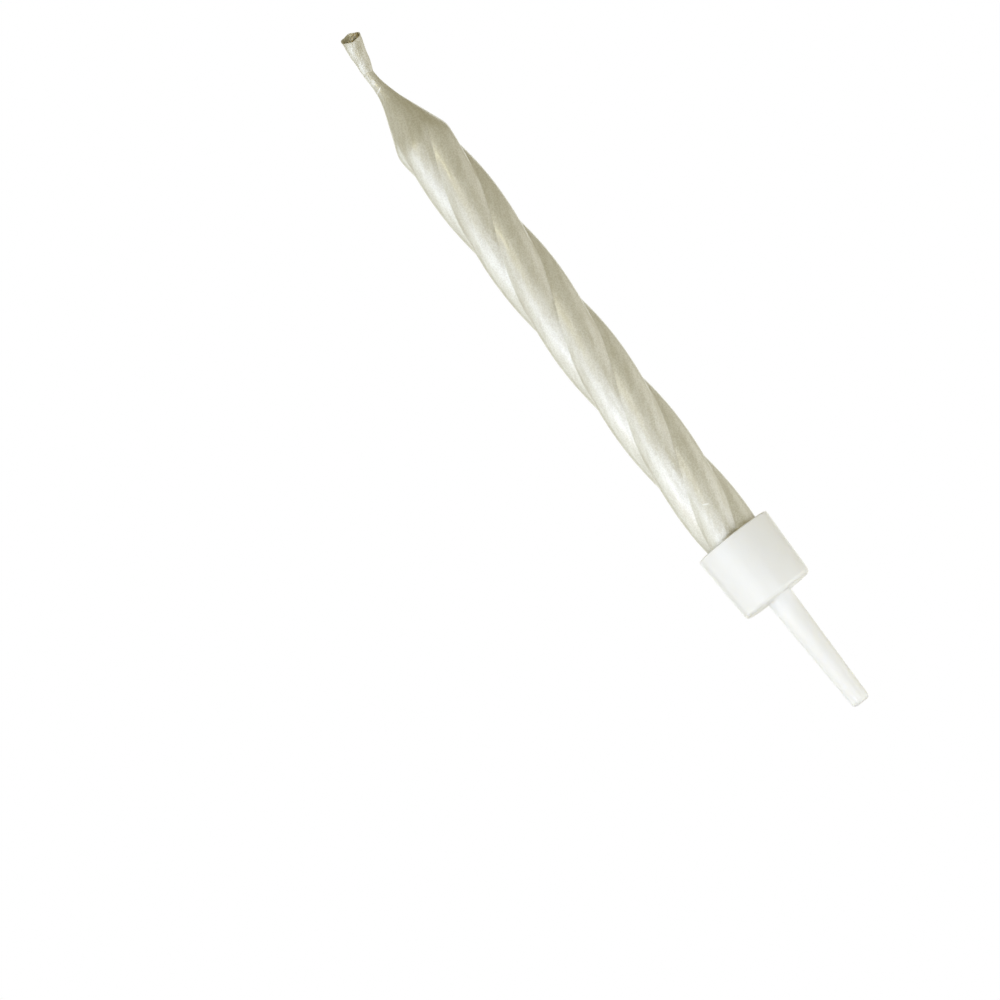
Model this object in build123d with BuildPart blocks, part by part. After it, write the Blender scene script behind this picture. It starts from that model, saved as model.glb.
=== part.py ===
from build123d import *
import os
from math import asin, atan2, cos, degrees, hypot, pi, sin, sqrt, tan

# A spiral birthday candle standing in its moulded holder, in millimetres.
# +Z runs up the candle, +X is the side the wick leans to, and the origin is
# the centre of the cup's underside, where the holder sits on the cake.

# Candle: a wax stick with round flutes in a right-handed twist
wax_length = 60.4
crest_radius = 2.93
lobe_count = 4
lobe_offset = 1.16
twist_pitch = 37.2
front_crease_height = 42.75
skin_thickness = 0.15

# Drawn tip: a smooth cone that the flutes run out into, below the wick
cone_length = 8.05
cone_overreach = 0.3
neck_curve_radius = 9.5
shoulder_round = 1.0

# Wick: a cotton cord through the wax, bent above the neck, splayed where it is cut
wick_radius = 0.3
wax_at_neck = 0.08
wick_rise = 0.2
wick_bend_radius = 1.6
wick_lean = 11.0
stub_length = 3.05
bare_wick_length = 0.95
wick_cut_radius = 0.93
wick_coat_thickness = 0.06
coat_lip_round = 0.06

# Holder: one polyethylene moulding, a drafted cup on a tapered spike
cup_height = 7.0
cup_wall = 0.9
cup_draft = 0.25
cup_foot_round = 0.45
rim_round = 0.15
socket_depth = 5.5
spike_length = 12.5
spike_root_radius = 1.3
spike_tip_radius = 0.92
spike_root_fillet = 0.3
spike_tip_round = 0.4

# Clearances between the candle and its socket, which tapers to grip the foot
mouth_clearance = 0.12
grip_clearance = 0.05
foot_clearance = 0.05

# Places that follow from the sizes above
socket_floor_height = cup_height - socket_depth
foot_height = socket_floor_height + foot_clearance
neck_height = foot_height + wax_length
bend_height = neck_height + wick_rise
neck_radius = wick_radius + wax_at_neck + skin_thickness
socket_mouth_radius = crest_radius + mouth_clearance
socket_floor_radius = crest_radius + grip_clearance
cup_rim_radius = socket_mouth_radius + cup_wall
cup_foot_radius = cup_rim_radius - cup_draft
half_lobe = 180 / lobe_count


def crease_angle(height):
    """Direction of a crease at a height, which faces the front at front_crease_height."""
    return 360 * (height - front_crease_height) / twist_pitch - 90


def lobed_section(inset):
    """The candle's cut foot: lobes that meet in sharp creases, drawn in by an inset."""
    crest = crest_radius - inset
    across = lobe_offset * sin(pi / lobe_count)
    inward = lobe_offset * cos(pi / lobe_count)
    crease = inward + sqrt((crest - lobe_offset) ** 2 - across**2)
    with BuildSketch(Plane.XY.offset(foot_height)) as section:
        with BuildLine():
            for lobe in range(lobe_count):
                crest_angle = crease_angle(foot_height) + half_lobe * (2 * lobe + 1)
                ThreePointArc(
                    Vector(crease, 0).rotate(Axis.Z, crest_angle - half_lobe),
                    Vector(crest, 0).rotate(Axis.Z, crest_angle),
                    Vector(crease, 0).rotate(Axis.Z, crest_angle + half_lobe),
                )
        make_face()
    return section.sketch


def tip_section(inset):
    """Half of the outline that the candle is drawn down to, drawn in by an inset.

    The neck curves out into a straight cone, which meets the crests at the
    shoulder and runs on past them, so that it only cuts what stands above it.
    The outline stands on a crest there, whatever the twist has turned to.
    """
    neck = neck_radius - inset
    full = crest_radius + cone_overreach - inset
    reach = crest_radius - neck_radius - neck_curve_radius
    slant = hypot(reach, cone_length)
    cone_angle = atan2(reach, cone_length) + asin(neck_curve_radius / slant)
    crest_angle = crease_angle(neck_height - cone_length) + half_lobe
    with BuildSketch(Plane.XZ.rotated((0, 0, crest_angle))) as section:
        with BuildLine():
            curve = JernArc((neck, neck_height), (0, -1), neck_curve_radius, degrees(cone_angle))
            curve_end = curve @ 1
            cone_end = (full, curve_end.Y - (full - curve_end.X) / tan(cone_angle))
            Polyline(
                curve_end,
                cone_end,
                (full, foot_height),
                (0, foot_height),
                (0, neck_height),
                (neck, neck_height),
            )
        make_face()
    return section.sketch


# Lines that the twist and the bent wick follow
with BuildLine() as candle_axis:
    Line((0, 0, foot_height), (0, 0, neck_height))
with BuildLine() as twist_guide:
    Helix(twist_pitch, wax_length, crest_radius, center=(0, 0, foot_height))
with BuildLine(Plane.XZ) as wick_bend:
    JernArc((0, bend_height), (0, 1), wick_bend_radius, -wick_lean)
stub_root = Plane(origin=wick_bend.line @ 1, z_dir=wick_bend.line % 1)
coat_end = stub_root.offset(stub_length)
wick_end = coat_end.offset(bare_wick_length)


def fluted_stick(inset):
    """The twisted candle drawn down to its neck, solid, drawn in by an inset."""
    with BuildPart() as stick:
        sweep(lobed_section(inset), candle_axis.line, binormal=twist_guide.wire())
        revolve(tip_section(inset), Axis.Z, mode=Mode.INTERSECT)
        cone = stick.faces().filter_by(GeomType.CONE)
        fillet(cone.edges().filter_by(GeomType.BSPLINE), shoulder_round - inset)
    return stick.part


# Wick, one cord from the candle's foot to its cut end
with BuildPart() as wick:
    with BuildSketch(Plane.XY.offset(foot_height)):
        Circle(wick_radius)
    extrude(amount=wax_length + wick_rise)
    with BuildSketch(Plane.XY.offset(bend_height)):
        Circle(wick_radius)
    sweep(path=wick_bend.line)
    with BuildSketch(stub_root):
        Circle(wick_radius)
    with BuildSketch(wick_end):
        Circle(wick_cut_radius)
    loft()
wick.part.label = "wick"

# Wax core, with the wick through its middle
wax_stick = fluted_stick(skin_thickness)
with BuildPart() as wax_body:
    add(wax_stick)
    add(wick.part, mode=Mode.SUBTRACT)
wax_body.part.label = "wax_body"

# Pearl overdip, one skin over the wax and up the wick to the bare cut end
with BuildPart() as pearl_skin:
    add(fluted_stick(0))
    with BuildSketch(Plane.XY.offset(neck_height)):
        Circle(neck_radius)
    extrude(amount=wick_rise)
    with BuildSketch(Plane.XY.offset(bend_height)):
        Circle(neck_radius)
    sweep(path=wick_bend.line)
    with BuildSketch(stub_root):
        Circle(neck_radius)
    with BuildSketch(coat_end):
        Circle(wick_cut_radius + wick_coat_thickness)
    loft()
    lip = pearl_skin.faces().sort_by(Axis.Z)[-1].edges()
    fillet(lip, coat_lip_round)
    add(wax_stick, mode=Mode.SUBTRACT)
    add(wick.part, mode=Mode.SUBTRACT)
pearl_skin.part.label = "pearl_skin"

# Holder, turned about the candle's axis from half of its section
with BuildPart() as holder:
    with BuildSketch(Plane.XZ) as half_section:
        with BuildLine():
            Polyline(
                (0, -spike_length),
                (spike_tip_radius, -spike_length),
                (spike_root_radius, 0),
                (cup_foot_radius, 0),
                (cup_rim_radius, cup_height),
                (socket_mouth_radius, cup_height),
                (socket_floor_radius, socket_floor_height),
                (0, socket_floor_height),
                close=True,
            )
        make_face()
        rounds = [
            (spike_tip_radius, -spike_length, spike_tip_round),
            (spike_root_radius, 0, spike_root_fillet),
            (cup_foot_radius, 0, cup_foot_round),
            (cup_rim_radius, cup_height, rim_round),
            (socket_mouth_radius, cup_height, rim_round),
        ]
        for radius, height, rounding in rounds:
            corner = half_section.vertices().sort_by_distance((radius, height, 0))[0]
            fillet(corner, rounding)
    revolve(axis=Axis.Z)
holder.part.label = "holder"

os.makedirs("parts", exist_ok=True)
for piece in (wick, wax_body, pearl_skin, holder):
    export_step(piece.part, f"parts/{piece.part.label}.step")
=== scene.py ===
from math import asin, atan2, cos, hypot, pi, radians, sin, tan

import bmesh
import bpy
from mathutils import Matrix, Vector


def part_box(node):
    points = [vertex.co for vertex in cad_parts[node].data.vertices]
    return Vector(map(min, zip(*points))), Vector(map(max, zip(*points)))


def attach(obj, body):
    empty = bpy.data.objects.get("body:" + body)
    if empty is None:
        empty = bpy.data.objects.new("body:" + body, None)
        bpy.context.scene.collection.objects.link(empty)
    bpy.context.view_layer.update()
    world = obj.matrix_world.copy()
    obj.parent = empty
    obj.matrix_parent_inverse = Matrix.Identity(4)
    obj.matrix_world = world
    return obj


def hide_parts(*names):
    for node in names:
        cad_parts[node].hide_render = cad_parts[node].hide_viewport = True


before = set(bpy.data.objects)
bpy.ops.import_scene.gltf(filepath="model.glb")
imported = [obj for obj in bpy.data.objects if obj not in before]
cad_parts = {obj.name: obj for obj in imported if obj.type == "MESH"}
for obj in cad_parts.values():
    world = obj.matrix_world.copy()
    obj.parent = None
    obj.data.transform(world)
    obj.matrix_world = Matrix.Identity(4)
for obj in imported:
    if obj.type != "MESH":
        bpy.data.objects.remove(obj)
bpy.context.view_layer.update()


# Holder: one injection moulding in natural white polyethylene, a drafted cup with a blind
# socket on a tapered spike. The spike is pushed into the cake until the cup sits on it.
mm = 0.001
holder_low, holder_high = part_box("holder")
cup_draft = 0.25 * mm
cup_wall = 0.895 * mm
cup_foot_round = 0.45 * mm
rim_round = 0.15 * mm
socket_depth = 5.5 * mm
socket_taper = 0.07 * mm
socket_floor_round = 0.02 * mm
spike_root_radius = 1.3 * mm
spike_root_fillet = 0.3 * mm
spike_tip_radius = 0.92 * mm
spike_tip_round = 0.4 * mm
cup_rim_radius = holder_high.x
cup_foot_radius = cup_rim_radius - cup_draft
socket_mouth_radius = cup_rim_radius - cup_wall
socket_floor_radius = socket_mouth_radius - socket_taper
socket_floor_height = holder_high.z - socket_depth
moulding_columns = 128
merge_distance = 0.0005 * mm
plastic_white = (0.862, 0.86, 0.848, 1)
plastic_cloudy = (0.832, 0.829, 0.812, 1)


def rounded_outline(corners, steps=8):
    """Points of a half section whose corners, (radius, height, rounding), become arcs."""
    points = []
    for before, corner, after in zip(corners, corners[1:], corners[2:]):
        here = Vector(corner[:2])
        back = (Vector(before[:2]) - here).normalized()
        ahead = (Vector(after[:2]) - here).normalized()
        rounding = corner[2]
        half_angle = back.angle(ahead) / 2
        centre = here + (back + ahead).normalized() * rounding / sin(half_angle)
        first = here + back * rounding / tan(half_angle) - centre
        last = here + ahead * rounding / tan(half_angle) - centre
        for step in range(steps + 1):
            points.append(centre + first.lerp(last, step / steps).normalized() * rounding)
    return [Vector(corners[0][:2]), *points, Vector(corners[-1][:2])]


def turned_mesh(name, outline, columns):
    """A closed mesh turned about Z from a half section that starts and ends on the axis."""
    shape = bmesh.new()
    corners = [shape.verts.new((point.x, 0, point.y)) for point in outline]
    edges = [shape.edges.new(pair) for pair in zip(corners, corners[1:])]
    bmesh.ops.spin(
        shape, geom=corners + edges, cent=(0, 0, 0), axis=(0, 0, 1), angle=2 * pi, steps=columns
    )
    bmesh.ops.remove_doubles(shape, verts=shape.verts, dist=merge_distance)
    bmesh.ops.recalc_face_normals(shape, faces=shape.faces)
    mesh = bpy.data.meshes.new(name)
    shape.to_mesh(mesh)
    shape.free()
    mesh.shade_smooth()
    return mesh


def new_piece(name, mesh):
    """An object in the scene at the origin, with its place in its mesh."""
    piece = bpy.data.objects.new(name, mesh)
    bpy.context.scene.collection.objects.link(piece)
    return piece


def new_material(name, base_colour, roughness):
    """A material with its surface shader, ready for the nodes that vary it."""
    material = bpy.data.materials.new(name)
    material.use_nodes = True
    surface = material.node_tree.nodes["Principled BSDF"]
    surface.inputs["Base Color"].default_value = base_colour
    surface.inputs["Roughness"].default_value = roughness
    return material, material.node_tree, surface


def add_noise(tree, place, scale, detail=2.0):
    """A noise pattern over a place socket, with its feature size in metres."""
    noise = tree.nodes.new("ShaderNodeTexNoise")
    noise.inputs["Scale"].default_value = 1 / scale
    noise.inputs["Detail"].default_value = detail
    tree.links.new(place, noise.inputs["Vector"])
    return noise.outputs[0]


def add_range(tree, value, low, high):
    """A factor from 0 to 1 taken to the range from low to high."""
    span = tree.nodes.new("ShaderNodeMapRange")
    span.inputs["To Min"].default_value = low
    span.inputs["To Max"].default_value = high
    tree.links.new(value, span.inputs["Value"])
    return span.outputs["Result"]


def add_mix(tree, factor, first, second):
    """A colour between two colours or colour sockets.

    The mix node keeps its pair of colours in inputs 6 and 7 and its colour in output 2.
    """
    mix = tree.nodes.new("ShaderNodeMix")
    mix.data_type = "RGBA"
    tree.links.new(factor, mix.inputs["Factor"])
    for entry, colour in ((mix.inputs[6], first), (mix.inputs[7], second)):
        if isinstance(colour, bpy.types.NodeSocket):
            tree.links.new(colour, entry)
        else:
            entry.default_value = colour
    return mix.outputs[2]


def add_bump(tree, surface, height, depth):
    """Raises the surface by a height socket, with its full depth in metres."""
    bump = tree.nodes.new("ShaderNodeBump")
    bump.inputs["Distance"].default_value = depth
    tree.links.new(height, bump.inputs["Height"])
    tree.links.new(bump.outputs["Normal"], surface.inputs["Normal"])


holder_outline = rounded_outline(
    [
        (0, holder_low.z, 0),
        (spike_tip_radius, holder_low.z, spike_tip_round),
        (spike_root_radius, 0, spike_root_fillet),
        (cup_foot_radius, 0, cup_foot_round),
        (cup_rim_radius, holder_high.z, rim_round),
        (socket_mouth_radius, holder_high.z, rim_round),
        (socket_floor_radius, socket_floor_height, socket_floor_round),
        (0, socket_floor_height, 0),
    ]
)
holder = new_piece("cake_holder", turned_mesh("cake_holder", holder_outline, moulding_columns))
polyethylene, nodes, surface = new_material("natural_polyethylene", plastic_white, 0.3)
surface.inputs["Subsurface Weight"].default_value = 0.4
surface.inputs["Subsurface Radius"].default_value = (1.0, 0.95, 0.8)
surface.inputs["Subsurface Scale"].default_value = 0.8 * mm
place = nodes.nodes.new("ShaderNodeTexCoord").outputs["Object"]
cloud = add_noise(nodes, place, 2.5 * mm)
nodes.links.new(add_mix(nodes, cloud, plastic_cloudy, plastic_white), surface.inputs["Base Color"])
nodes.links.new(add_range(nodes, cloud, 0.24, 0.36), surface.inputs["Roughness"])
add_bump(nodes, surface, add_noise(nodes, place, 0.35 * mm), 0.004 * mm)
holder.data.materials.append(polyethylene)
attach(holder, "holder")
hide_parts("holder")


# Wick: a cotton cord of three plies that runs through the wax from the foot to the top. Above
# the neck it is bent over a little, and its fibres splay and stand bare at a slanting cut.
wick_low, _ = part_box("wick")
foot_height = wick_low.z
wick_radius = 0.3 * mm
wick_cut_radius = 0.93 * mm
wick_bend_start = 60.6 * mm
wick_bend_radius = 1.6 * mm
wick_lean = radians(11.0)
wick_stub_start = wick_bend_start + wick_bend_radius * wick_lean
wick_stub_length = 4.2 * mm
wick_length = wick_stub_start + wick_stub_length
wick_plies = 3
ply_pitch = 5.5 * mm
fibre_pitch = 3.4 * mm
fibres_in_a_ply = 17
fibre_turn = radians(137.5)
# Shares of the cord's radius: how far out a ply lies, how far its fibres lie from its middle,
# and the radius of a fibre
ply_middle = 0.46
fibre_reach = 0.42
fibre_radius = 0.12
fibre_sides = 6
# Rows stand closer towards the cut. The fibres on the side of the lean, which faces away from the
# lights, are made browner: painted shade
wick_rows = 110
row_crowding = 1.5
strand_paleness = 0.25
lean_side_painted_shade = 0.4
cotton_brown = (0.42, 0.33, 0.17, 1)
cotton_gold = (0.7, 0.57, 0.32, 1)
cotton_pale = (0.86, 0.83, 0.73, 1)


class Field:
    """A number that varies over a shape, worked out by the math nodes of one tree."""

    def __init__(self, tree, socket):
        self.tree = tree
        self.socket = socket

    def math(self, operation, *others):
        """What one math node makes of this field and the others."""
        node = self.tree.nodes.new("ShaderNodeMath")
        node.operation = operation
        for entry, value in zip(node.inputs, (self, *others)):
            if isinstance(value, Field):
                self.tree.links.new(value.socket, entry)
            else:
                entry.default_value = value
        return Field(self.tree, node.outputs["Value"])

    def __add__(self, other):
        return self.math("ADD", other)

    def __sub__(self, other):
        return self.math("SUBTRACT", other)

    def __mul__(self, other):
        return self.math("MULTIPLY", other)

    def __truediv__(self, other):
        return self.math("DIVIDE", other)

    def __pow__(self, other):
        return self.math("POWER", other)

    def __rsub__(self, other):
        return self * -1 + other

    __radd__ = __add__

    def clamp(self, low, high):
        return self.math("MAXIMUM", low).math("MINIMUM", high)

    def sin(self):
        return self.math("SINE")

    def cos(self):
        return self.math("COSINE")

    def sqrt(self):
        return self.math("SQRT")

    def smoothstep(self, low, high):
        """A smooth rise from 0 at low to 1 at high."""
        share = ((self - low) / (high - low)).clamp(0, 1)
        return share * share * (3 - share * 2)


def new_shape_tree(name, sizes):
    """An empty shape tree with one named input for each size, as fields."""
    tree = bpy.data.node_groups.new(name, "GeometryNodeTree")
    tree.interface.new_socket("Geometry", in_out="OUTPUT", socket_type="NodeSocketGeometry")
    for label, size in sizes.items():
        entry = tree.interface.new_socket(label, in_out="INPUT", socket_type="NodeSocketFloat")
        entry.default_value = size
    given = tree.nodes.new("NodeGroupInput")
    return tree, {label: Field(tree, given.outputs[label]) for label in sizes}


def end_shape_tree(tree, geometry, material):
    """Ends a tree in real, smooth geometry with its material."""
    real = tree.nodes.new("GeometryNodeRealizeInstances")
    smooth = tree.nodes.new("GeometryNodeSetShadeSmooth")
    finish = tree.nodes.new("GeometryNodeSetMaterial")
    finish.inputs["Material"].default_value = material
    result = tree.nodes.new("NodeGroupOutput")
    tree.links.new(geometry, real.inputs[0])
    tree.links.new(real.outputs[0], smooth.inputs[0])
    tree.links.new(smooth.outputs[0], finish.inputs[0])
    tree.links.new(finish.outputs[0], result.inputs[0])


def shape_from_tree(name, tree, sizes, finishing=()):
    """The plain mesh that a tree makes at the given sizes, after the finishing modifiers."""
    piece = new_piece(name, bpy.data.meshes.new(name + "_start"))
    modifier = piece.modifiers.new(name, "NODES")
    modifier.node_group = tree
    for entry in tree.interface.items_tree:
        if entry.in_out == "INPUT":
            modifier[entry.identifier] = sizes[entry.name]
    for kind, settings in finishing:
        extra = piece.modifiers.new(kind.lower(), kind)
        for setting, value in settings.items():
            setattr(extra, setting, value)
    depsgraph = bpy.context.evaluated_depsgraph_get()
    mesh = bpy.data.meshes.new_from_object(piece.evaluated_get(depsgraph), depsgraph=depsgraph)
    piece.modifiers.clear()
    piece.data = mesh
    mesh.name = name
    return piece


def move_along_wick(tree, geometry, given, along, out, aside):
    """Sets points that lie along the bent wick, out towards its lean and aside from it."""
    turn = ((along - given["Bend start"]) / given["Bend radius"]).clamp(0, given["Lean"])
    straight = along.math("MINIMUM", given["Bend start"])
    beyond = (along - given["Bend start"] - given["Bend radius"] * given["Lean"]).clamp(0, 1)
    kink = along.smoothstep(given["Kink start"], given["Kink end"]) * given["Neck kink"]
    place = tree.nodes.new("ShaderNodeCombineXYZ")
    lean_x = given["Bend radius"] * (1 - turn.cos()) + beyond * turn.sin() + out * turn.cos() - kink
    lean_z = given["Bend radius"] * turn.sin() + beyond * turn.cos() - out * turn.sin()
    tree.links.new(lean_x.socket, place.inputs["X"])
    tree.links.new(aside.socket, place.inputs["Y"])
    tree.links.new((straight + lean_z + given["Foot height"]).socket, place.inputs["Z"])
    move = tree.nodes.new("GeometryNodeSetPosition")
    tree.links.new(geometry, move.inputs["Geometry"])
    tree.links.new(place.outputs["Vector"], move.inputs["Position"])
    return move.outputs["Geometry"]


def store(tree, geometry, name, value, data_type="FLOAT"):
    """Keeps a value on the mesh's points under a name that its material reads."""
    keep = tree.nodes.new("GeometryNodeStoreNamedAttribute")
    keep.data_type = data_type
    keep.inputs["Name"].default_value = name
    tree.links.new(geometry, keep.inputs["Geometry"])
    tree.links.new(value, keep.inputs["Value"])
    return keep.outputs["Geometry"]


bend_sizes = {
    "Foot height": foot_height,
    "Bend start": wick_bend_start,
    "Bend radius": wick_bend_radius,
    "Lean": wick_lean,
    "Neck kink": 0.11 * mm,
    "Kink start": 58.0 * mm,
    "Kink end": 60.4 * mm,
}
wick_sizes = {
    **bend_sizes,
    "Length": wick_length,
    "Radius": wick_radius,
    "Cut radius": wick_cut_radius,
    "Splay start": wick_stub_start,
    "Ply turns per metre": 1 / ply_pitch,
    "Fibre turns per metre": 1 / fibre_pitch,
    "Uneven cut": 0.1 * mm,
    "Cut slant": 0.55 * mm,
    "Seed": 4.0,
}

waxed_cotton, nodes, surface = new_material("waxed_cotton", cotton_pale, 0.5)
surface.inputs["Sheen Weight"].default_value = 0.2
surface.inputs["Sheen Roughness"].default_value = 0.5
surface.inputs["Subsurface Weight"].default_value = 0.6
surface.inputs["Subsurface Radius"].default_value = (1.0, 0.85, 0.6)
surface.inputs["Subsurface Scale"].default_value = 0.4 * mm
strand = nodes.nodes.new("ShaderNodeAttribute")
strand.attribute_name = "strand"
place = nodes.nodes.new("ShaderNodeTexCoord").outputs["Object"]
fuzz = add_noise(nodes, place, 0.12 * mm, 4.0)
dye = nodes.nodes.new("ShaderNodeValToRGB")
dye.color_ramp.elements[0].color = cotton_brown
dye.color_ramp.elements[1].color = cotton_pale
dye.color_ramp.elements[1].position = 0.75
dye.color_ramp.elements.new(0.3).color = cotton_gold
nodes.links.new(strand.outputs["Fac"], dye.inputs["Fac"])
nodes.links.new(
    add_mix(nodes, add_range(nodes, fuzz, 0.0, 1.6), cotton_brown, dye.outputs["Color"]),
    surface.inputs["Base Color"],
)
add_bump(nodes, surface, fuzz, 0.02 * mm)

tree, given = new_shape_tree("plied_wick", wick_sizes)
line = tree.nodes.new("GeometryNodeCurvePrimitiveLine")
rows = tree.nodes.new("GeometryNodeResampleCurve")
rows.inputs["Count"].default_value = wick_rows
strands = tree.nodes.new("GeometryNodeDuplicateElements")
strands.domain = "SPLINE"
strands.inputs["Amount"].default_value = wick_plies * fibres_in_a_ply
tree.links.new(line.outputs[0], rows.inputs[0])
tree.links.new(rows.outputs[0], strands.inputs[0])
number = Field(tree, strands.outputs["Duplicate Index"])
straight_share = tree.nodes.new("GeometryNodeSplineParameter").outputs["Factor"]
before_bending = tree.nodes.new("GeometryNodeCaptureAttribute")
before_bending.capture_items.new("FLOAT", "Share")
tree.links.new(strands.outputs["Geometry"], before_bending.inputs["Geometry"])
tree.links.new(straight_share, before_bending.inputs["Share"])
share = Field(tree, before_bending.outputs["Share"])
chance = tree.nodes.new("ShaderNodeTexWhiteNoise")
chance.noise_dimensions = "2D"
chance_place = tree.nodes.new("ShaderNodeCombineXYZ")
tree.links.new(number.socket, chance_place.inputs["X"])
tree.links.new(given["Seed"].socket, chance_place.inputs["Y"])
tree.links.new(chance_place.outputs[0], chance.inputs["Vector"])
luck = Field(tree, chance.outputs["Value"])
ply = (number / fibres_in_a_ply).math("FLOOR")
fibre = number - ply * fibres_in_a_ply
fibre_out = ((fibre + 0.5) / fibres_in_a_ply).sqrt() * fibre_reach


def strand_place(along):
    """How far out and aside a fibre lies in the twisted cord, as shares of the cord's radius."""
    ply_angle = ply * (2 * pi / wick_plies) + along * given["Ply turns per metre"] * (2 * pi)
    fibre_angle = fibre * fibre_turn + along * given["Fibre turns per metre"] * (2 * pi)
    out = ply_angle.cos() * ply_middle + fibre_angle.cos() * fibre_out
    aside = ply_angle.sin() * ply_middle + fibre_angle.sin() * fibre_out
    return out, aside


end_out, end_aside = strand_place(given["Length"])
cut = given["Length"] - given["Cut slant"] * (1 - end_aside) - given["Uneven cut"] * luck
along = (1 - (1 - share) ** row_crowding) * cut
out, aside = strand_place(along)
splay = ((along - given["Splay start"]) / (given["Length"] - given["Splay start"])).clamp(0, 1)
spread = given["Radius"] + (given["Cut radius"] - given["Radius"]) * splay
bundle = before_bending.outputs["Geometry"]
laid = move_along_wick(tree, bundle, given, along, out * spread, aside * spread)
# A fibre's tone varies at random, and is browner on the side of the lean away from the lights:
# painted shade
tone_and_painted_shade = (luck + strand_paleness - end_out * lean_side_painted_shade).clamp(0, 1)
marked = store(tree, laid, "strand", tone_and_painted_shade.socket)
section = tree.nodes.new("GeometryNodeCurvePrimitiveCircle")
section.inputs["Resolution"].default_value = fibre_sides
section.inputs["Radius"].default_value = 1.0
tubes = tree.nodes.new("GeometryNodeCurveToMesh")
tubes.inputs["Fill Caps"].default_value = True
tree.links.new(marked, tubes.inputs["Curve"])
tree.links.new((spread * fibre_radius).socket, tubes.inputs["Scale"])
tree.links.new(section.outputs["Curve"], tubes.inputs["Profile Curve"])
end_shape_tree(tree, tubes.outputs["Mesh"], waxed_cotton)
wick = shape_from_tree("cotton_wick", tree, wick_sizes)
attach(wick, "candle")
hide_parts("wick")


# Wax body: the drawn, fluted and twisted stick of plain white paraffin, cast round the wick.
# Only its cut foot shows, inside the rim of the pearl skin, when the candle is out of its cup.
wax_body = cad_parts["wax_body"]
wax_cream = (0.76, 0.745, 0.66, 1)
wax_white = (0.87, 0.86, 0.79, 1)
paraffin, nodes, surface = new_material("white_paraffin", wax_white, 0.45)
surface.inputs["Subsurface Weight"].default_value = 0.5
surface.inputs["Subsurface Radius"].default_value = (1.0, 0.9, 0.7)
surface.inputs["Subsurface Scale"].default_value = 1.0 * mm
place = nodes.nodes.new("ShaderNodeTexCoord").outputs["Object"]
grain = add_noise(nodes, place, 0.6 * mm, 5.0)
nodes.links.new(add_mix(nodes, grain, wax_cream, wax_white), surface.inputs["Base Color"])
nodes.links.new(add_range(nodes, grain, 0.35, 0.6), surface.inputs["Roughness"])
add_bump(nodes, surface, grain, 0.03 * mm)
wax_body.data.materials.clear()
wax_body.data.materials.append(paraffin)


# Pearl skin: the overdip of pearl lacquer wax, one thin coat over the flutes, the drawn tip and
# the wick, up to the bare cut. It shimmers, and where the wick was bent it has cracked white.
wax_low, wax_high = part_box("wax_body")
wax_length = wax_high.z - wax_low.z
skin_thickness = 0.15 * mm
wax_at_neck = 0.08 * mm
wick_coat_thickness = 0.06 * mm
coat_stub_length = 3.05 * mm
crest_radius = wax_high.x + skin_thickness
neck_radius = wick_radius + wax_at_neck + skin_thickness
neck_curve_radius = 9.5 * mm
cone_length = 8.05 * mm
cone_reach = crest_radius - neck_radius - neck_curve_radius
cone_slant = hypot(cone_reach, cone_length)
cone_angle = atan2(cone_reach, cone_length) + asin(neck_curve_radius / cone_slant)
cone_start = neck_curve_radius * sin(cone_angle)
coat_length = wick_stub_start + coat_stub_length
flare_shape = 0.85
lip_waves = 5
lobe_count = 4
columns_in_a_lobe = 30
seam_tolerance = 0.00001
# Rows stand closer towards the lip
skin_rows = 360
skin_row_crowding = 1.4
# Ripples and streaks are drawn out along the twist
ripple_size = 1.6 * mm
streak_stretch = 5.0
pearl_deep = (0.54, 0.51, 0.39, 1)
pearl_light = (0.7, 0.68, 0.575, 1)
crack_white = (0.95, 0.95, 0.91, 1)
pearl_roughness = 0.29
flake_roughness = 0.16
crack_roughness = 0.3
mark_softness = 0.7
grain_depth = 0.034 * mm
# The grain dies down where the coat is thin, above the neck
calm_start = 60.0 * mm
calm_end = 62.0 * mm
calm_share = 0.7
skin_sizes = {
    **bend_sizes,
    "Crest radius": crest_radius,
    "Lobe offset": 1.16 * mm,
    "Crease round": radians(4.5),
    "Crease groove": 0.03 * mm,
    "Groove angle": radians(9.0),
    "Twist pitch": 37.2 * mm,
    "Front crease height": 42.75 * mm,
    "Neck height": wax_length,
    "Neck radius": neck_radius,
    "Neck curve radius": neck_curve_radius,
    "Cone start": cone_start,
    "Cone slope": tan(cone_angle),
    "Shoulder round": 0.4 * mm,
    "Coat length": coat_length,
    "Stub start": wick_stub_start,
    "Lip radius": wick_cut_radius + wick_coat_thickness,
    "Lip rise": 0.1 * mm,
    "Lip slant": 0.56 * mm,
    "Lip wave": 0.04 * mm,
    "Ply start": 1.0 * mm,
    "Ply depth": 0.025 * mm,
    "Unevenness": 0.05 * mm,
}

pearl, nodes, surface = new_material("pearl_lacquer", pearl_light, pearl_roughness)
surface.inputs["IOR"].default_value = 3.0
surface.inputs["Coat Weight"].default_value = 0.5
surface.inputs["Coat Roughness"].default_value = 0.12
place = nodes.nodes.new("ShaderNodeTexCoord").outputs["Object"]
flow = nodes.nodes.new("ShaderNodeAttribute")
flow.attribute_name = "untwisted"
spot = nodes.nodes.new("ShaderNodeSeparateXYZ")
nodes.links.new(place, spot.inputs[0])
x, y, z = (Field(nodes, spot.outputs[axis]) for axis in "XYZ")


def add_mark(across, up, lean, half_length, half_width):
    """A soft-edged streak on the front, from its centre in millimetres and its lean from level."""
    aside = x - across * mm
    above = z - up * mm
    along = (aside * cos(lean) + above * sin(lean)) / (half_length * mm)
    athwart = (above * cos(lean) - aside * sin(lean)) / (half_width * mm)
    reach = along * along + athwart * athwart
    return (1 - reach).smoothstep(0, mark_softness) * y.math("LESS_THAN", 0.0)


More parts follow.
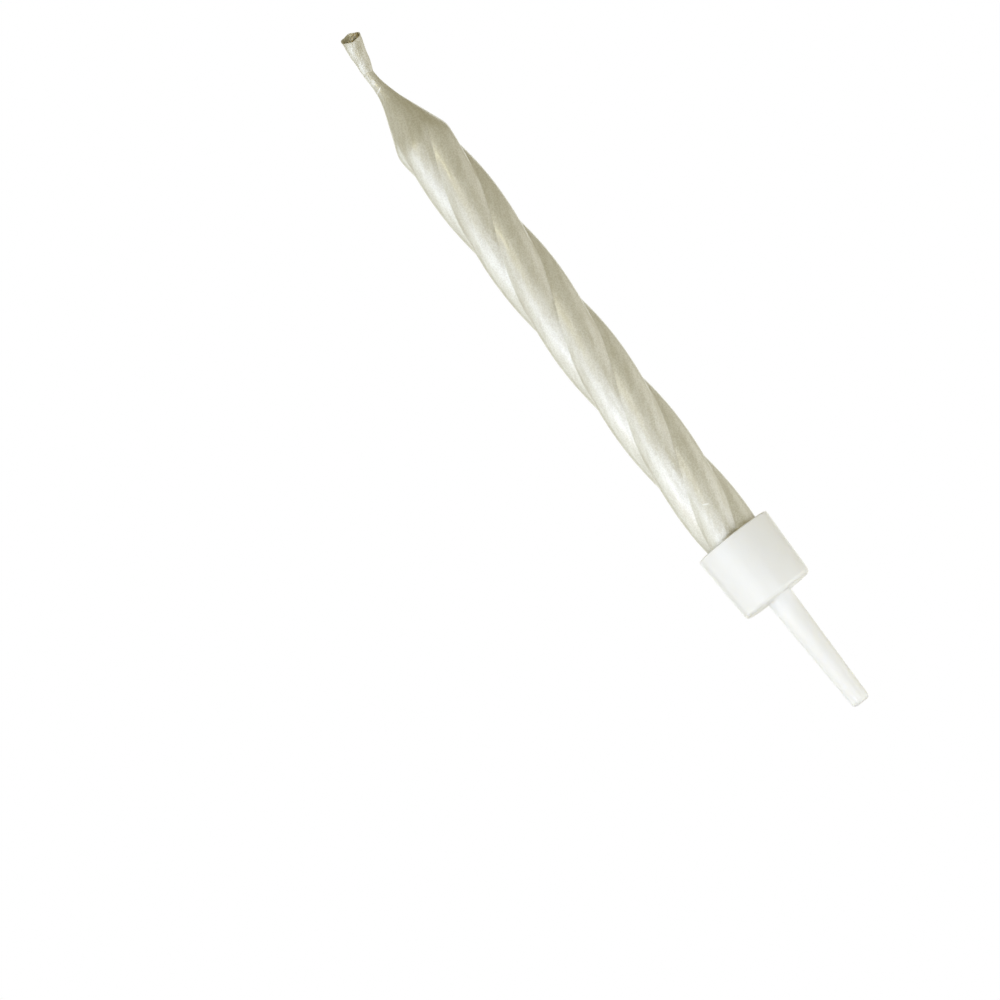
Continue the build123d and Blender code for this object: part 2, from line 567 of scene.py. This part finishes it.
flakes = Field(nodes, add_noise(nodes, place, 0.14 * mm, 3.0))
streaks = Field(nodes, add_noise(nodes, flow.outputs["Vector"], 0.5 * mm, 3.0))
cloud = Field(nodes, add_noise(nodes, place, 1.6 * mm, 2.0))
neck_flake = add_mark(-0.26, 61.35, radians(80), 0.36, 0.2)
neck_crack = add_mark(-0.3, 60.42, radians(24), 0.5, 0.09)
body_nick = add_mark(-0.19, 10.7, radians(-29), 0.42, 0.08)
cracked = (neck_flake + neck_crack + body_nick).clamp(0, 1)
# Mostly fine flakes, with some streaks along the twist and a little broad cloud
tone = (cloud * 0.12 + streaks * 0.3 + flakes * 0.58).smoothstep(0.4, 0.6)
tint = add_mix(nodes, tone.socket, pearl_deep, pearl_light)
nodes.links.new(add_mix(nodes, cracked.socket, tint, crack_white), surface.inputs["Base Color"])
satin = flakes * flake_roughness + pearl_roughness + cracked * crack_roughness
nodes.links.new(satin.socket, surface.inputs["Roughness"])
calm = 1 - z.smoothstep(calm_start, calm_end) * calm_share
grain = (flakes * 0.7 + streaks * 0.9) * calm
add_bump(nodes, surface, grain.socket, grain_depth)

tree, given = new_shape_tree("twisted_skin", skin_sizes)
grid = tree.nodes.new("GeometryNodeMeshGrid")
grid.inputs["Size X"].default_value = 1.0
grid.inputs["Size Y"].default_value = 1.0
grid.inputs["Vertices X"].default_value = lobe_count * columns_in_a_lobe + 1
grid.inputs["Vertices Y"].default_value = skin_rows + 1
spot = tree.nodes.new("ShaderNodeSeparateXYZ")
tree.links.new(tree.nodes.new("GeometryNodeInputPosition").outputs[0], spot.inputs[0])
round_share = Field(tree, spot.outputs["X"]) + 0.5
rise_share = Field(tree, spot.outputs["Y"]) + 0.5
along = (1 - (1 - rise_share) ** skin_row_crowding) * given["Coat length"]
height = along + given["Foot height"]
half_lobe = pi / lobe_count
lobe_number = (round_share * lobe_count + seam_tolerance).math("FLOOR")
across = (round_share * lobe_count - lobe_number) * 2 - 1
# A cubic in place of even steps crowds the columns towards the creases
from_crest = across * (1.5 - across * across * 0.5) * half_lobe
from_foot = lobe_number * (2 * half_lobe) + half_lobe + from_crest
twist = (height - given["Front crease height"]) / given["Twist pitch"] * (2 * pi) - pi / 2
angle = from_foot + twist

from_crease = half_lobe - from_crest.math("ABSOLUTE")
soft_crease = (from_crease * from_crease + given["Crease round"] * given["Crease round"]).sqrt()
lobe_angle = half_lobe - soft_crease
lobe_side = given["Lobe offset"] * lobe_angle.sin()
lobe_radius = given["Crest radius"] - given["Lobe offset"]
lobe_reach = (lobe_radius * lobe_radius - lobe_side * lobe_side).sqrt()
lobed = given["Lobe offset"] * lobe_angle.cos() + lobe_reach
groove_share = (1 - from_crease / given["Groove angle"]).clamp(0, 1)
lobed = lobed - groove_share * groove_share * given["Crease groove"]

below_neck = (given["Neck height"] - along).clamp(0, 1)
in_curve = below_neck.math("MINIMUM", given["Cone start"])
curve_drop = (given["Neck curve radius"] * given["Neck curve radius"] - in_curve * in_curve).sqrt()
on_cone = (below_neck - given["Cone start"]).clamp(0, 1)
curved = given["Neck radius"] + given["Neck curve radius"] - curve_drop
drawn = curved + on_cone * given["Cone slope"]
flare = ((along - given["Stub start"]) / (given["Coat length"] - given["Stub start"])).clamp(0, 1)
drawn = drawn + (given["Lip radius"] - given["Neck radius"]) * flare**flare_shape
body_radius = lobed.math("SMOOTH_MIN", drawn, given["Shoulder round"])

bare_neck = (along - given["Neck height"]).smoothstep(0, given["Ply start"])
ply_ridge = (angle * wick_plies - along * (2 * pi * wick_plies / ply_pitch)).sin()
untwisted = tree.nodes.new("ShaderNodeCombineXYZ")
tree.links.new((from_foot.cos() * given["Crest radius"]).socket, untwisted.inputs["X"])
tree.links.new((from_foot.sin() * given["Crest radius"]).socket, untwisted.inputs["Y"])
tree.links.new((along * (1 / streak_stretch)).socket, untwisted.inputs["Z"])
ripple = Field(tree, add_noise(tree, untwisted.outputs[0], ripple_size, 1.0)) - 0.5
radius = body_radius + ply_ridge * bare_neck * given["Ply depth"]
radius = radius + ripple * given["Unevenness"] * (1 - bare_neck)
lip_slope = given["Lip rise"] + given["Lip slant"] * (1 + angle.sin())
lip_edge = lip_slope + (angle * lip_waves).sin() * given["Lip wave"]
lip_rise = lip_edge * flare * flare
flat = store(tree, grid.outputs["Mesh"], "untwisted", untwisted.outputs[0], "FLOAT_VECTOR")
out = radius * angle.cos()
aside = radius * angle.sin()
laid = move_along_wick(tree, flat, given, along + lip_rise, out, aside)
closed = tree.nodes.new("GeometryNodeMergeByDistance")
closed.inputs["Distance"].default_value = merge_distance
tree.links.new(laid, closed.inputs["Geometry"])
end_shape_tree(tree, closed.outputs["Geometry"], pearl)
wall = {"thickness": skin_thickness, "offset": -1.0, "use_even_offset": True}
edges = {"width": 0.05 * mm, "segments": 3, "limit_method": "ANGLE", "angle_limit": radians(60)}
skin = shape_from_tree("pearl_overdip", tree, skin_sizes, (("SOLIDIFY", wall), ("BEVEL", edges)))
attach(skin, "candle")
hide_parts("pearl_skin")


# Floor, light and camera: a floor that shows white, well below, in a dim warm room. Soft boxes
# stand for a window on the left, with dimmer ones on the right, below and behind, and two small
# warm lamps. The camera is rolled, so that the candle leans as photographed.
room_glow = (0.29, 0.258, 0.15, 1)
seen_white = (1, 1, 1, 1)
floor_half = 2.0
floor_height = -0.25
light_aim_height = 30.0 * mm
floor_mesh = bpy.data.meshes.new("white_floor")
floor_mesh.from_pydata(
    [
        (-floor_half, -floor_half, floor_height),
        (floor_half, -floor_half, floor_height),
        (floor_half, floor_half, floor_height),
        (-floor_half, floor_half, floor_height),
    ],
    [],
    [(0, 1, 2, 3)],
)
floor = new_piece("white_floor", floor_mesh)
floor_glow, nodes, surface = new_material("lit_white_floor", (0.0, 0.0, 0.0, 1), 1.0)
seen = nodes.nodes.new("ShaderNodeLightPath").outputs["Is Camera Ray"]
nodes.links.new(add_mix(nodes, seen, room_glow, seen_white), surface.inputs["Emission Color"])
surface.inputs["Emission Strength"].default_value = 1.0
surface.inputs["Specular IOR Level"].default_value = 0.0
floor_mesh.materials.append(floor_glow)

world = bpy.data.worlds.new("white_room")
world.use_nodes = True
bpy.context.scene.world = world
room = world.node_tree.nodes["Background"]
seen = world.node_tree.nodes.new("ShaderNodeLightPath").outputs["Is Camera Ray"]
lit_room = add_mix(world.node_tree, seen, room_glow, seen_white)
world.node_tree.links.new(lit_room, room.inputs["Color"])


def add_soft_box(name, turn, rise, tilt, distance, width, length, glow, colour):
    """An area light that faces the candle's middle, turned, raised and tilted in degrees.

    Its distance, width and length are in metres, and its glow is the brightness of its face.
    """
    light = bpy.data.lights.new(name, "AREA")
    light.shape = "RECTANGLE"
    light.size = width
    light.size_y = length
    light.energy = glow * pi * width * length
    light.color = colour
    box = bpy.data.objects.new(name, light)
    box.visible_camera = False
    bpy.context.scene.collection.objects.link(box)
    turn = radians(turn)
    rise = radians(rise)
    out = Vector((sin(turn) * cos(rise), -cos(turn) * cos(rise), sin(rise)))
    middle = Vector((0, 0, light_aim_height))
    facing = out.to_track_quat("Z", "Y").to_matrix().to_4x4()
    tilted = facing @ Matrix.Rotation(radians(tilt), 4, "Z")
    box.matrix_world = Matrix.Translation(middle + out * distance) @ tilted


add_soft_box("window_bar", -47, -4, -20, 0.22, 0.24, 0.08, 2.25, (0.75, 0.84, 1.0))
add_soft_box("window_low", -35, -22, -20, 0.22, 0.2, 0.08, 1.8, (0.69, 0.77, 1.0))
add_soft_box("window_near", -55, -25, -20, 0.12, 0.08, 0.05, 0.9, (1.0, 0.88, 0.78))
add_soft_box("window_head", -58, 20, -20, 0.22, 0.14, 0.1, 0.85, (0.79, 0.85, 1.0))
add_soft_box("window_foot", 5, -22, -20, 0.22, 0.12, 0.07, 4.25, (0.79, 0.86, 1.0))
add_soft_box("left_sheet", -100, -5, 0, 0.3, 0.35, 0.3, 1.03, (0.82, 0.9, 1.0))
add_soft_box("right_front", 50, -28, 0, 0.25, 0.15, 0.2, 0.3, (1.0, 0.96, 0.86))
add_soft_box("right_sheet", 100, -16, 0, 0.25, 0.32, 0.26, 0.62, (0.98, 0.98, 0.96))
add_soft_box("right_far", 70, -32, 0, 0.15, 0.08, 0.1, 1.0, (0.72, 0.8, 1.0))
add_soft_box("right_low", 72, -52, 0, 0.09, 0.08, 0.08, 0.7, (0.88, 0.94, 1.0))
add_soft_box("table_glow", 0, -80, 0, 0.16, 0.08, 0.08, 0.9, (0.95, 0.98, 1.0))
add_soft_box("back_sheet", 178, 8, 0, 0.3, 0.4, 0.35, 1.0, (0.93, 0.97, 1.0))
add_soft_box("shoulder_lamp", -32, 28, 0, 0.3, 0.05, 0.05, 6.0, (1.0, 0.93, 0.58))
add_soft_box("warm_bar", -12, 15, 34, 0.4, 0.15, 0.03, 4.3, (1.0, 0.97, 0.85))

view_elevation = radians(-5.5)
view_roll = radians(37.9)
view_distance = 0.5
view_width = 93.25 * mm
aim_height = 27.0 * mm
aim_right = 9.366 * mm
aim_up = 12.305 * mm
back = Vector((0, -cos(view_elevation), sin(view_elevation)))
level_up = Vector((0, sin(view_elevation), cos(view_elevation)))
level_right = Vector((1, 0, 0))
up = level_up * cos(view_roll) + level_right * sin(view_roll)
right = level_right * cos(view_roll) - level_up * sin(view_roll)
camera_data = bpy.data.cameras.new("photo_camera")
camera_data.sensor_width = 36.0
camera_data.lens = camera_data.sensor_width * view_distance / view_width
camera_data.clip_start = 0.01
camera_data.clip_end = 20.0
camera = bpy.data.objects.new("photo_camera", camera_data)
bpy.context.scene.collection.objects.link(camera)
camera.matrix_world = Matrix.Translation(
    Vector((0, 0, aim_height)) - right * aim_right - up * aim_up + back * view_distance
) @ Matrix((right, up, back)).transposed().to_4x4()
bpy.context.scene.camera = camera
bpy.context.scene.view_settings.view_transform = "Standard"
